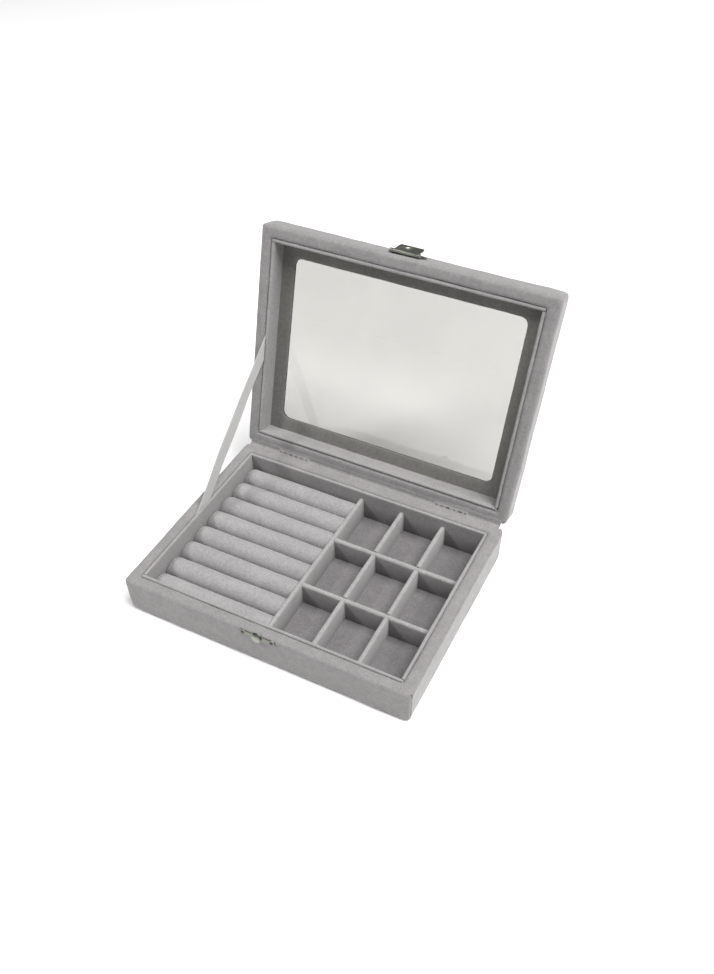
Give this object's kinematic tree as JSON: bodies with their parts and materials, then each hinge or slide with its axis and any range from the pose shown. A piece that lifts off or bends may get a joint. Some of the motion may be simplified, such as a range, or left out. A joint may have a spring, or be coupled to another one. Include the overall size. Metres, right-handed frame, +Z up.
{
  "type": "ring display box",
  "caption": "Velvet-covered ring and jewellery display box with a glass lid, padded ring rolls and divided compartments.",
  "frame": {"origin": "middle of the flat underside, on the surface that the box stands on", "axes": "+X to the right as seen from the clasp side, +Y to the hinged back, +Z up"},
  "size_m": [0.2, 0.2161, 0.1732],
  "materials": {
    "outer_velvet": "grey short-pile velvet",
    "liner_velvet": "grey short-pile velvet on card",
    "divider_velvet": "grey short-pile velvet on board",
    "roll_velvet": "grey short-pile velvet over foam",
    "floor_velvet": "darker grey velvet on card",
    "board_wood": "raw fibreboard",
    "lining_paper": "matt lining paper",
    "clear_glass": "clear polished",
    "ribbon_fabric": "satin-edged woven ribbon",
    "nickel_metal": "worn nickel plate",
    "dark_metal": "darkened steel"
  },
  "bodies": {
    "base": {"base_wall_front": "board_wood", "base_wall_right": "board_wood", "base_wall_back": "board_wood", "base_wall_left": "board_wood", "base_bottom_board": "board_wood", "base_velvet_cover": "outer_velvet", "underside_lining": "lining_paper", "base_liner_front": "liner_velvet", "base_liner_right": "liner_velvet", "base_liner_back": "liner_velvet", "base_liner_left": "liner_velvet", "tray_floor_card": "floor_velvet", "ring_roll_1": "roll_velvet", "ring_roll_2": "roll_velvet", "ring_roll_3": "roll_velvet", "ring_roll_4": "roll_velvet", "ring_roll_5": "roll_velvet", "ring_roll_6": "roll_velvet", "ring_roll_7": "roll_velvet", "ring_roll_8": "roll_velvet", "centre_divider": "divider_velvet", "cross_divider_front": "divider_velvet", "cross_divider_back": "divider_velvet", "long_divider_left": "divider_velvet", "long_divider_right": "divider_velvet", "catch_plate": "nickel_metal", "catch_nails": "dark_metal", "left_hinge_base_leaf": "dark_metal", "right_hinge_base_leaf": "dark_metal", "base_leaf_nails": "dark_metal", "left_hinge_pin": "dark_metal", "right_hinge_pin": "dark_metal", "stay_ribbon": "ribbon_fabric", "hinge_strip_left": "outer_velvet", "hinge_strip_middle": "outer_velvet", "hinge_strip_right": "outer_velvet"},
    "lid": {"lid_wall_front": "board_wood", "lid_wall_right": "board_wood", "lid_wall_back": "board_wood", "lid_wall_left": "board_wood", "lid_top_board": "board_wood", "lid_velvet_cover": "outer_velvet", "glass_pane": "clear_glass", "glass_retainer_frame": "liner_velvet", "lid_liner_front": "liner_velvet", "lid_liner_right": "liner_velvet", "lid_liner_back": "liner_velvet", "lid_liner_left": "liner_velvet", "left_hinge_lid_leaf": "dark_metal", "right_hinge_lid_leaf": "dark_metal", "lid_leaf_nails": "dark_metal", "hasp_plate": "nickel_metal", "hasp_nails": "dark_metal", "hasp_pin": "nickel_metal"},
    "hasp": {"hasp_lever": "nickel_metal"}
  },
  "joints": [
    {"name": "lid_hinge", "type": "hinge", "parent": "base", "child": "lid", "pos_m": [0, 0.0757, 0.02765], "axis": [1, 0, 0], "range_deg": [0, 107.5], "deforming": ["stay_ribbon", "hinge_strip_left", "hinge_strip_middle", "hinge_strip_right"]},
    {"name": "hasp_hinge", "type": "hinge", "parent": "lid", "child": "hasp", "pos_m": [0, 0.12507, 0.17209], "axis": [1, 0, 0], "range_deg": [0, 172]}
  ]
}
